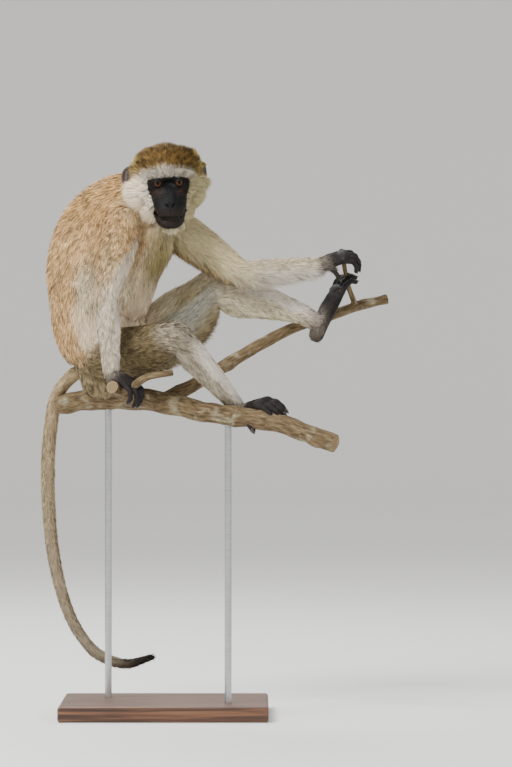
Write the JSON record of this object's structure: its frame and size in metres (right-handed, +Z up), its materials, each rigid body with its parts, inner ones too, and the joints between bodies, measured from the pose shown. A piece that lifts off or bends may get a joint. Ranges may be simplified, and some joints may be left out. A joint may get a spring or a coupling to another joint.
{
  "type": "vervet monkey figure",
  "caption": "Seated adult male vervet monkey, one foot raised on a forked branch, as a life-size still model on a two-rod display stand",
  "frame": {"origin": "centre of the underside of the stand's base", "axes": "+Z up, -Y is the side the animal looks to, +X is the side its raised foot points to"},
  "size_m": [0.5155, 0.2729, 0.8318],
  "materials": {
    "coat": "tan speckled fur",
    "pale_coat": "pale grey fur of the limbs",
    "dark_skin": "bare black skin",
    "amber": "wet amber eye",
    "bark": "dry brown bark",
    "walnut": "oiled dark wood",
    "steel": "brushed steel rod"
  },
  "bodies": {
    "root": {"ear_left": "dark_skin", "ear_right": "dark_skin", "eye_left": "amber", "eye_right": "amber", "foot_left": "dark_skin", "foot_right": "dark_skin", "forearm_left": "pale_coat", "forearm_right": "pale_coat", "hand_left": "dark_skin", "hand_right": "dark_skin", "head": "coat", "neck": "coat", "perch": "bark", "shank_left": "pale_coat", "shank_right": "pale_coat", "stand_base": "walnut", "stand_rod_back": "steel", "stand_rod_front": "steel", "tail_end": "coat", "tail_middle": "coat", "tail_root": "coat", "thigh_left": "pale_coat", "thigh_right": "pale_coat", "trunk": "coat", "upper_arm_left": "pale_coat", "upper_arm_right": "pale_coat"}
  },
  "joints": []
}
